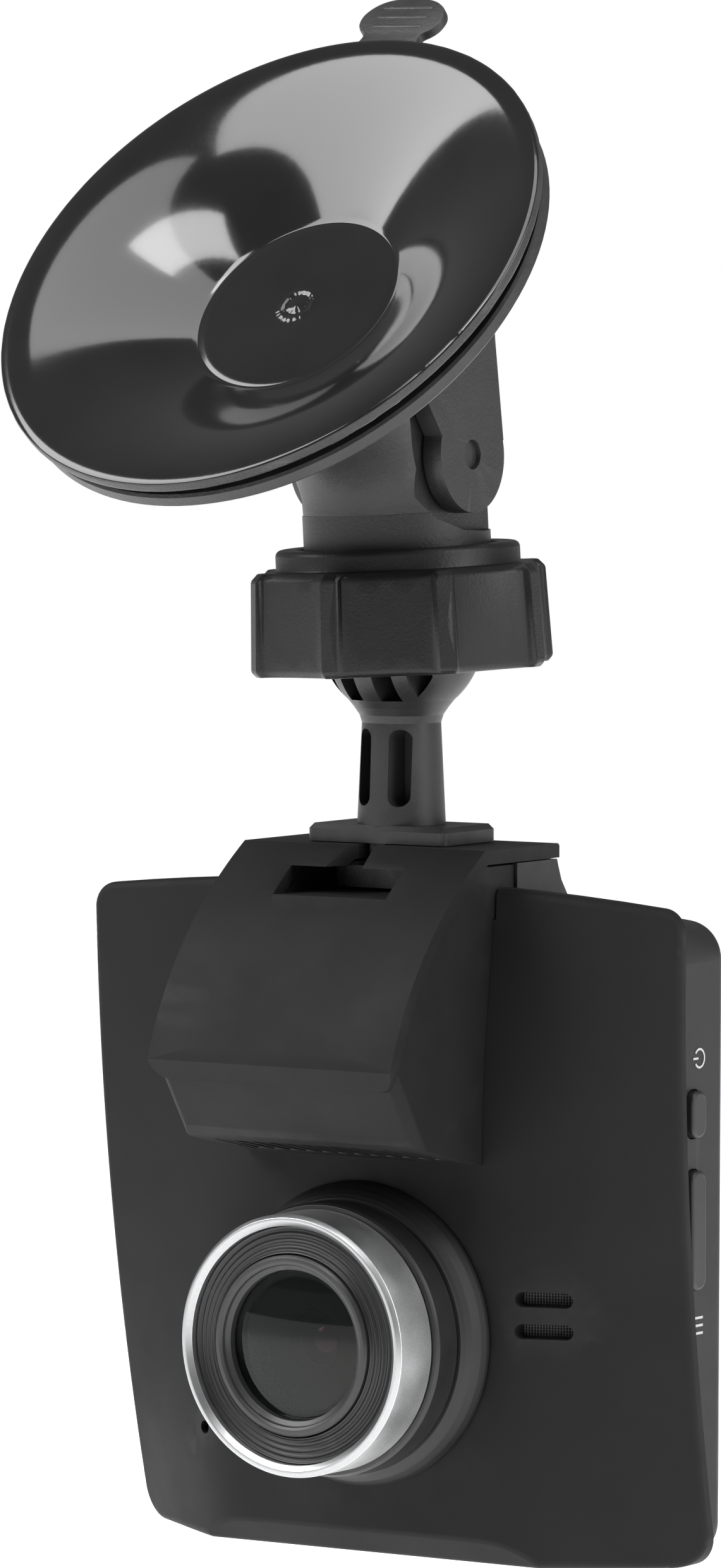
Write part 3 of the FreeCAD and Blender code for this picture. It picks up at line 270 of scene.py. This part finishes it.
M["print"] = plastic("printed_mark", (0.55, 0.55, 0.56), rough=0.5, grain=0.2, bump=0.2, height=0.005, var=0.06, wear=0.0)

def mesh_cloth():
    m, nt, p, tc = nodes_of("woven_mesh")
    mp = nt.nodes.new("ShaderNodeMapping")
    mp.inputs["Scale"].default_value = (1000 / 0.30,) * 3
    nt.links.new(tc.outputs["Object"], mp.inputs["Vector"])
    w1, w2 = nt.nodes.new("ShaderNodeTexWave"), nt.nodes.new("ShaderNodeTexWave")
    w1.bands_direction, w2.bands_direction = "X", "Z"
    for w in (w1, w2):
        w.inputs["Scale"].default_value = 0.314
        nt.links.new(mp.outputs[0], w.inputs["Vector"])
    mx = math_node(nt, "MAXIMUM", w1.outputs["Fac"], w2.outputs["Fac"])
    nt.links.new(ramp(nt, mx, (0.002, 0.002, 0.002), (0.05, 0.05, 0.052), 0.55, 0.9), p.inputs["Base Color"])
    nt.links.new(remap(nt, mx, 0.7, 0.35, 0, 1), p.inputs["Roughness"])
    b = nt.nodes.new("ShaderNodeBump")
    b.inputs["Distance"].default_value = 0.00008
    nt.links.new(mx, b.inputs["Height"])
    nt.links.new(b.outputs[0], p.inputs["Normal"])
    return m
M["mesh"] = mesh_cloth()

# ------------------------------------------------------------------ mesh helpers
def new_obj(name, verts, faces, mats, xform=None, face_mats=None, sharp=32):
    me = bpy.data.meshes.new(name)
    me.from_pydata([tuple(v) for v in verts], [], faces)
    bm = bmesh.new()
    bm.from_mesh(me)
    bmesh.ops.remove_doubles(bm, verts=bm.verts, dist=1e-6)
    bmesh.ops.recalc_face_normals(bm, faces=bm.faces)
    bm.to_mesh(me)
    bm.free()
    if xform is not None:
        me.transform(xform)
    for m in (mats if isinstance(mats, (list, tuple)) else [mats]):
        me.materials.append(m)
    me.shade_smooth()
    me.set_sharp_from_angle(angle=math.radians(sharp))
    me.update()
    o = bpy.data.objects.new(name, me)
    sc.collection.objects.link(o)
    return o

def soften(pts, r, n=4, closed=False):
    """Rounds the corners of an open (r, z) chain; r is a number or one per point."""
    out = []
    N = len(pts)
    for i, p in enumerate(pts):
        rad_ = r[i] if isinstance(r, (list, tuple)) else r
        if (not closed and i in (0, N - 1)) or rad_ <= 0:
            out.append(p)
            continue
        a, b = np.array(pts[i - 1], float), np.array(pts[(i + 1) % N], float)
        q = np.array(p, float)
        u, v = a - q, b - q
        lu, lv = np.linalg.norm(u), np.linalg.norm(v)
        if lu < 1e-9 or lv < 1e-9:
            out.append(p)
            continue
        u, v = u / lu, v / lv
        ang = math.acos(max(-1, min(1, float(u @ v))))
        if ang > math.radians(172):
            out.append(p)
            continue
        t = min(rad_ / math.tan(ang / 2), lu * 0.45, lv * 0.45)
        p0, p1 = q + u * t, q + v * t
        for k in range(n + 1):
            s = k / n
            w = (1 - s) ** 2 * p0 + 2 * s * (1 - s) * q + s ** 2 * p1
            out.append((float(w[0]), float(w[1])))
    return out

def lathe(name, prof, mats, xform, seg=128, ride="camera", rep=(), mat_fn=None, jitter=None, sharp=32, closed=True):
    """Revolves a closed (r, z) loop in mm about local Z."""
    verts, faces = [], []
    n = len(prof)
    ids = []
    for i in range(seg):
        a = 2 * math.pi * i / seg
        row = []
        for j, (r, z) in enumerate(prof):
            if r < 1e-6 and i > 0:
                row.append(ids[0][j])
                continue
            rr, zz = r, z
            if jitter:
                rr, zz = jitter(r, z, a)
            verts.append((rr * math.cos(a), rr * math.sin(a), zz))
            row.append(len(verts) - 1)
        ids.append(row)
    fm = []
    for i in range(seg):
        A, B = ids[i], ids[(i + 1) % seg]
        for j in range(n if closed else n - 1):
            k = (j + 1) % n
            f = []
            for q in (A[j], B[j], B[k], A[k]):
                if q not in f:
                    f.append(q)
            if len(f) >= 3:
                faces.append(f)
                fm.append((prof[j], prof[k]))
    me_o = new_obj(name, verts, faces, mats, xform, sharp=sharp)
    if mat_fn:
        inv = xform.inverted()
        for p in me_o.data.polygons:
            c = inv @ p.center
            p.material_index = mat_fn(math.hypot(c.x, c.y), c.z)
    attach(me_o, ride)
    if rep:
        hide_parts(*rep)
    return me_o

# ------------------------------------------------------------------ suction cup
CUP_R, FLAT_R, DEPTH, LAND = 30.6, 11.5, 7.15, 29.4
def cup_front(r):
    if r <= FLAT_R:
        return -DEPTH - 0.05 * math.sin(r / FLAT_R * math.pi) 
    t = min(1.0, (r - FLAT_R) / (LAND - FLAT_R))
    return -DEPTH * (1 - t) ** 1.5
mids = [(2.6 + (FLAT_R - 0.35 - 2.6) * i / 9.0) for i in range(10)]
outs = [FLAT_R + (LAND - FLAT_R) * (i / 40.0) for i in range(41)]
gate = [(0.0, -DEPTH + 0.02), (0.35, -DEPTH + 0.04), (0.62, -DEPTH - 0.03), (0.95, -DEPTH - 0.01), (1.15, -DEPTH - 0.06), (1.55, -DEPTH - 0.08), (1.75, -DEPTH + 0.02), (1.95, -DEPTH + 0.03), (2.2, -DEPTH - 0.02)]
front = gate + [(r, cup_front(r)) for r in mids] + [(FLAT_R - 0.15, -DEPTH - 0.05)] + [(r, cup_front(r)) for r in outs]
rim = [(30.1, 0.0), (30.42, -0.04), (30.56, -0.16), (30.6, -0.32), (30.59, -0.6), (30.6, -0.85), (30.58, -1.1), (30.45, -1.28), (30.2, -1.35)]
back = [(r, cup_front(r) - 1.35 - 1.15 * max(0, (LAND - r) / (LAND - FLAT_R))) for r in outs[::-1][::2]]
back = back + [(0.0, back[-1][1])]
prof = front + rim + back
def cup_jit(r, z, a):
    if r > 30.15 and z < -0.1:     # the trimmed edge is a little rough
        k = noise.noise(Vector((math.cos(a) * 60, math.sin(a) * 60, z * 5))) * 0.035
        return r + k - 0.02, z
    if r < 2.5:
        k = noise.noise(Vector((r * 3 * math.cos(a), r * 3 * math.sin(a), 1.7))) * 0.03
        return r, z + (k if r > 1e-6 else 0)
    return r, z
cup = lathe("suction_cup_skin", prof, [M["cup"], M["cup_edge"]], SUCT, seg=192, ride="base", jitter=cup_jit, sharp=40,
            mat_fn=lambda r, z: 1 if (r > 30.5 and -1.3 < z < -0.12) else 0)
cup.parent = None
cup.matrix_world = Matrix.Identity(4)
if "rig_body" in cup:
    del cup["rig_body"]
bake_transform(cup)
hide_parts("suction_cup")

# pull tab: outline extruded with rounded edges, three ridges and a neck that runs into the rim
def tab_piece():
    half = [(3.95, 29.2), (3.8, 30.1), (3.6, 30.9), (3.75, 31.5), (4.5, 32.1), (5.0, 32.8), (5.2, 33.7), (5.05, 34.6), (4.4, 35.6), (3.4, 36.35), (2.1, 36.78), (0.8, 36.9)]
    poly = half + [(-x, y) for x, y in half[::-1]]
    # resample smoothly
    P = []
    n = len(poly)
    for i in range(n - 1):
        p0, p1, p2, p3 = (np.array(poly[max(0, i - 1)]), np.array(poly[i]), np.array(poly[i + 1]), np.array(poly[min(n - 1, i + 2)]))
        for s in (0, 0.25, 0.5, 0.75):
            P.append(0.5 * ((2 * p1) + (-p0 + p2) * s + (2 * p0 - 5 * p1 + 4 * p2 - p3) * s * s + (-p0 + 3 * p1 - 3 * p2 + p3) * s ** 3))
    P.append(np.array(poly[-1]))
    cen = np.array([0, 33.0])
    layers = [(-1.20, 0.90), (-1.25, 0.965), (-1.1, 1.0), (-0.45, 1.0), (-0.22, 0.985), (-0.15, 0.93)]
    verts, faces = [], []
    for z, k in layers:
        for p in P:
            q = cen + (p - cen) * k if p[1] > 30.2 else np.array([p[0] * k, p[1]])
            verts.append((q[0], q[1], z))
    m = len(P)
    for L in range(len(layers) - 1):
        for i in range(m):
            j = (i + 1) % m
            faces.append([L * m + i, L * m + j, (L + 1) * m + j, (L + 1) * m + i])
    faces.append([i for i in range(m)][::-1])
    faces.append([(len(layers) - 1) * m + i for i in range(m)])
    # ridges
    for y in (32.6, 34.0, 35.4):
        w = 2.9
        prof_ = [(-0.30, -0.2), (-0.22, -0.05), (0.0, 0.02), (0.22, -0.05), (0.30, -0.2)]
        base_i = len(verts)
        xs = [-w - 0.3, -w, w, w + 0.3]
        for x in xs:
            f = 0.55 if abs(x) > w else 1.0
            for dy, z in prof_:
                verts.append((x, y + dy * f, -0.2 + (z + 0.2) * f))
        k = len(prof_)
        for a in range(3):
            for b in range(k - 1):
                faces.append([base_i + a * k + b, base_i + a * k + b + 1, base_i + (a + 1) * k + b + 1, base_i + (a + 1) * k + b])
            faces.append([base_i + a * k + k - 1, base_i + a * k, base_i + (a + 1) * k, base_i + (a + 1) * k + k - 1])
        faces.append([base_i + b for b in range(k)])
        faces.append([base_i + 3 * k + b for b in range(k)][::-1])
    X = SUCT @ Matrix.Rotation(math.radians(-4), 4, "Z") @ Matrix.Translation((0, 30.1, -0.7)) @ Matrix.Rotation(math.radians(-4), 4, "X") @ Matrix.Translation((0, -30.1, 0.7))
    o = new_obj("cup_pull_tab", verts, faces, [M["lever"]], X, sharp=40)
    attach(o, "base")
    return o
tab_piece()

# ------------------------------------------------------------------ lens
R_ = lambda pts, r, n=4: soften(pts, r, n, closed=True)
lathe("collar_skin", R_([(13.2, 0.70), (15.95, 0.70), (15.95, 1.2), (15.75, 2.0), (15.30, 2.95), (14.85, 3.5), (14.55, 3.75), (14.45, 3.88), (13.2, 3.88)], [0, 0.05, 0.6, 0.8, 0.8, 0.4, 0.1, 0.05, 0], 4), M["collar"], LENS, seg=160, rep=("lens_collar",))
lathe("barrel_skin", R_([(11.9, -3.0), (13.1, -3.0), (13.1, 4.0), (13.95, 4.0), (14.25, 4.25), (14.3, 5.0), (14.3, 7.55), (14.05, 7.95), (12.35, 7.95), (12.35, 9.3), (11.9, 9.3)], [0, 0, 0, 0.12, 0.15, 0.2, 0.25, 0.12, 0, 0, 0], 4), M["satin"], LENS, seg=160, rep=("lens_barrel",))
ring_prof = R_([(12.45, 8.12), (13.65, 8.12), (13.65, 13.74), (13.28, 14.2), (12.95, 14.2), (12.40, 13.72), (12.45, 9.5)], [0, 0.12, 0.12, 0.16, 0.16, 0.10, 0], 4)
lathe("ring_skin", ring_prof, [M["silver"], M["silver_edge"]], LENS, seg=192, rep=("lens_ring",), mat_fn=lambda r, z: 1 if z > 13.84 else 0)
rip = [(9.5, 9.6), (12.3, 9.6), (12.3, 12.95)]
N_R = 64
for i in range(N_R + 1):
    r = 12.2 - (12.2 - 9.62) * i / N_R
    t = (12.2 - r) / (12.2 - 9.62)
    z = 12.85 + 0.72 * t + 0.11 * math.cos(t * 2 * math.pi * 4.0) - 0.11
    rip.append((r, z))
rip.append((9.5, 13.4))
lathe("insert_skin", rip, M["satin"], LENS, seg=160, rep=("lens_insert",), sharp=50)
lathe("retainer_skin", R_([(7.85, 9.6), (9.42, 9.6), (9.42, 13.8), (9.15, 14.08), (8.75, 14.1), (8.45, 13.95), (8.35, 13.6), (8.12, 13.45), (7.85, 13.3)], [0, 0, 0.08, 0.12, 0.12, 0.08, 0.06, 0.06, 0.05], 3), M["retainer"], LENS, seg=160, rep=("lens_retainer",))
dome = [(0, 13.44)] + [(7.78 * i / 24.0, 13.44 - 0.86 * (i / 24.0) ** 2) for i in range(1, 25)] + [(7.78, 12.2), (7.4, 12.0)] + [(7.4 * i / 16.0, 12.35 - 0.35 * (i / 16.0) ** 2) for i in range(15, -1, -1)]
lathe("glass_skin", dome, M["glass"], LENS, seg=128, rep=("front_glass",), sharp=60)
# stepped black baffle behind the glass with the aperture rings
baf = [(7.0, 2.05), (7.0, 11.28), (6.7, 11.28), (6.2, 10.9), (5.2, 10.35), (4.2, 9.95), (3.45, 9.75), (3.32, 9.95), (3.12, 9.95), (3.02, 9.75), (2.96, 9.3), (2.75, 9.15), (2.72, 8.8), (2.55, 8.7), (2.50, 8.4), (2.88, 8.2), (2.88, 2.05)]
lathe("baffle_skin", soften(baf, 0.05, 2, closed=True), M["baffle"], LENS, seg=128, rep=("lens_cell",), sharp=28)
il = [(0, 6.2), (2.85, 6.2), (2.85, 7.4)] + [(2.5 * (1 - i / 20.0), 7.5 + 1.05 * (1 - (1 - i / 20.0) ** 2)) for i in range(21)]
lathe("inner_lens_skin", il, [M["coat_green"]], LENS, seg=96, rep=("inner_lens",), sharp=50)

# ------------------------------------------------------------------ printed marks (generic symbols)
def ribbon(name, pts, width, loc, right, up, normal, body="camera", closed=False, thick=0.02):
    """A thin printed stroke along pts (mm, in right/up) lying on a face."""
    verts, faces = [], []
    n = len(pts)
    P = [np.array(p, float) for p in pts]
    rights = []
    for i in range(n):
        a, b = P[max(0, i - 1)], P[min(n - 1, i + 1)]
        t = b - a
        t = t / (np.linalg.norm(t) + 1e-9)
        rights.append(np.array([-t[1], t[0]]) * width / 2)
    for i in range(n):
        for s in (1, -1):
            q = P[i] + s * rights[i]
            for h in (0, thick):
                verts.append(loc + right * q[0] + up * q[1] + normal * h)
    for i in range(n - 1):
        a, b = 4 * i, 4 * (i + 1)
        faces += [[a + 1, a + 3, b + 3, b + 1], [a, b, b + 2, a + 2], [a, a + 1, b + 1, b], [a + 2, b + 2, b + 3, a + 3]]
    faces += [[0, 2, 3, 1], [4 * (n - 1), 4 * (n - 1) + 1, 4 * (n - 1) + 3, 4 * (n - 1) + 2]]
    return verts, faces

def mark(name, strokes, loc, right, up, normal, width):
    V_, F_ = [], []
    for s in strokes:
        v, f = ribbon(name, s, width, Vector(loc), Vector(right), Vector(up), Vector(normal))
        k = len(V_)
        V_ += v
        F_ += [[q + k for q in ff] for ff in f]
    o = new_obj(name, V_, F_, M["print"], TO_ROW, sharp=30)
    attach(o, "camera")
    return o
arc = lambda r, a0, a1, n=24, c=(0, 0): [(c[0] + r * math.cos(math.radians(a0 + (a1 - a0) * i / n)), c[1] + r * math.sin(math.radians(a0 + (a1 - a0) * i / n))) for i in range(n + 1)]
# side face: x = 34.4; its own right is +Y, up is +Z
mark("mark_power", [arc(0.95, 125, 415), [(0, 0.25), (0, 1.25)]], (34.54, 3.3, -42.6), (0, 0, 1), (0, -1, 0), (1, 0, 0), 0.22)
mark("mark_mode", [[(-1.0, 0.8), (1.0, 0.8)], [(-1.0, 0.0), (1.0, 0.0)], [(-1.0, -0.8), (1.0, -0.8)]], (34.44, 3.2, -70.3), (0, 1, 0), (0, 0, 1), (1, 0, 0), 0.26)

# ------------------------------------------------------------------ finishes of the CAD nodes
FIN = {
    "base_dish": "mount", "lock_lever": "lever", "clamp_nut": "nut", "ball_stem": "arm", "pull_stem": "satin", "lever_pin": "satin", "ball_pad": "satin", "slip_ring": "satin",
    "front_cover": "soft", "hood_slab": "soft", "hood_housing": "soft", "vent_grille": "satin", "rear_case": "case",
    "power_button": "key", "mode_button": "key", "key_1": "key", "key_2": "key", "key_3": "key", "key_4": "key",
    "screen_window": "gloss", "screen_frame": "satin", "lcd_panel": "gloss", "lens_holder": "satin", "rear_lens": "coat_green",
    "image_sensor": "chip", "sensor_board": "board", "main_board": "board", "processor": "chip", "memory_chip": "chip", "board_link": "chip", "key_board": "board",
    "board_screws": "steel", "case_screws": "steel", "hood_screws": "steel", "battery": "wrap", "speaker": "chip", "speaker_mesh": "mesh", "microphone": "steel",
    "card_socket": "steel", "power_socket": "steel", "power_switch": "steel", "mode_switch": "steel", "key_switches": "steel", "reset_switch": "steel",
}
for name, o in frame["nodes"].items():
    if o.hide_render:
        continue
    o.data.materials.clear()
    o.data.materials.append(M[FIN.get(name, "satin")])

# soft edges on the moulded CAD shells
def soft_edges(name, width, angle=30, seg=2):
    o = frame["nodes"][name]
    w = o.modifiers.new("weld", "WELD")
    w.merge_threshold = 0.000002
    b = o.modifiers.new("edge", "BEVEL")
    b.width = width * 0.001
    b.segments = seg
    b.limit_method = "ANGLE"
    b.angle_limit = math.radians(angle)
    b.use_clamp_overlap = True
    b.harden_normals = False
    b.miter_outer = "MITER_ARC"

for name, width in (("hood_slab", 0.28), ("lock_lever", 0.45), ("clamp_nut", 0.25), ("rear_case", 0.12), ("hood_housing", 0.2)):
    soft_edges(name, width)

# ------------------------------------------------------------------ stage, light, camera
def area(name, loc, target, size, power, size_y=None, color=(1, 1, 1)):
    l = bpy.data.lights.new(name, "AREA")
    l.energy = power
    l.color = color
    l.shape = "RECTANGLE"
    l.size = size
    l.size_y = size_y or size
    o = bpy.data.objects.new(name, l)
    sc.collection.objects.link(o)
    o.location = loc
    o.rotation_mode = "QUATERNION"
    o.rotation_quaternion = (Vector(target) - Vector(loc)).to_track_quat("-Z", "Y")
    return o

lo, hi = CAD_BOX
floor_z = lo.z - 0.05
me = bpy.data.meshes.new("floor")
S_ = 60.0
me.from_pydata([(-S_, -S_, floor_z), (S_, -S_, floor_z), (S_, S_, floor_z), (-S_, S_, floor_z)], [], [[0, 1, 2, 3]])
fl = bpy.data.objects.new("floor", me)
sc.collection.objects.link(fl)
fm, nt, p, tc = nodes_of("floor_pale")
f = noise_tex(nt, tc, 400.0, 2.0, 0.5)
nt.links.new(ramp(nt, f, (0.88, 0.88, 0.88), (0.90, 0.90, 0.90)), p.inputs["Base Color"])
p.inputs["Roughness"].default_value = 0.8
p.inputs["Emission Color"].default_value = (1, 1, 1, 1)
p.inputs["Emission Strength"].default_value = 0.80
me.materials.append(fm)

w = bpy.data.worlds.new("studio")
sc.world = w
w.use_nodes = True
wn = w.node_tree
for n in list(wn.nodes):
    wn.nodes.remove(n)
wo = wn.nodes.new("ShaderNodeOutputWorld")
b1, b2 = wn.nodes.new("ShaderNodeBackground"), wn.nodes.new("ShaderNodeBackground")
b1.inputs["Strength"].default_value = 0.22
b2.inputs["Strength"].default_value = 1.0
for b in (b1, b2):
    b.inputs["Color"].default_value = (1, 1, 1, 1)
lp = wn.nodes.new("ShaderNodeLightPath")
mx = wn.nodes.new("ShaderNodeMixShader")
wn.links.new(lp.outputs["Is Camera Ray"], mx.inputs[0])
wn.links.new(b1.outputs[0], mx.inputs[1])
wn.links.new(b2.outputs[0], mx.inputs[2])
wn.links.new(mx.outputs[0], wo.inputs[0])

mid = (lo + hi) / 2
AZ, EL = math.radians(33.5), math.radians(3.6)
back_ = Vector((math.sin(AZ) * math.cos(EL), -math.cos(AZ) * math.cos(EL), math.sin(EL)))
right_ = Vector((math.cos(AZ), math.sin(AZ), 0))
def around(az, el, d):
    """a point at that azimuth and elevation about the middle, seen as in the camera's own azimuth scale"""
    a, e = math.radians(az), math.radians(el)
    return mid + Vector((math.sin(a) * math.cos(e), -math.cos(a) * math.cos(e), math.sin(e))) * d
area("key_left", around(-50, 38, 0.75), mid + Vector((0, 0, 0.03)), 0.55, 4.6, 0.45)
area("top_soft", around(20, 78, 0.8), mid, 0.7, 3.4, 0.5)
area("right_fill", around(100, 25, 0.8), mid, 0.35, 3.2, 0.6)
area("front_strip", around(8, 58, 0.9), mid, 0.16, 1.6, 0.35)

cam = bpy.data.cameras.new("camera")
co = bpy.data.objects.new("camera", cam)
sc.collection.objects.link(co)
cam.sensor_width = 36.0
cam.lens = 36.0 * 14100.0 / 2482.0
T = W(-5.15, 0.0, -15.5)
co.location = T + back_ * 0.935
co.rotation_mode = "QUATERNION"
co.rotation_quaternion = (-back_).to_track_quat("-Z", "Y")
cam.clip_start, cam.clip_end = 0.05, 50
sc.camera = co
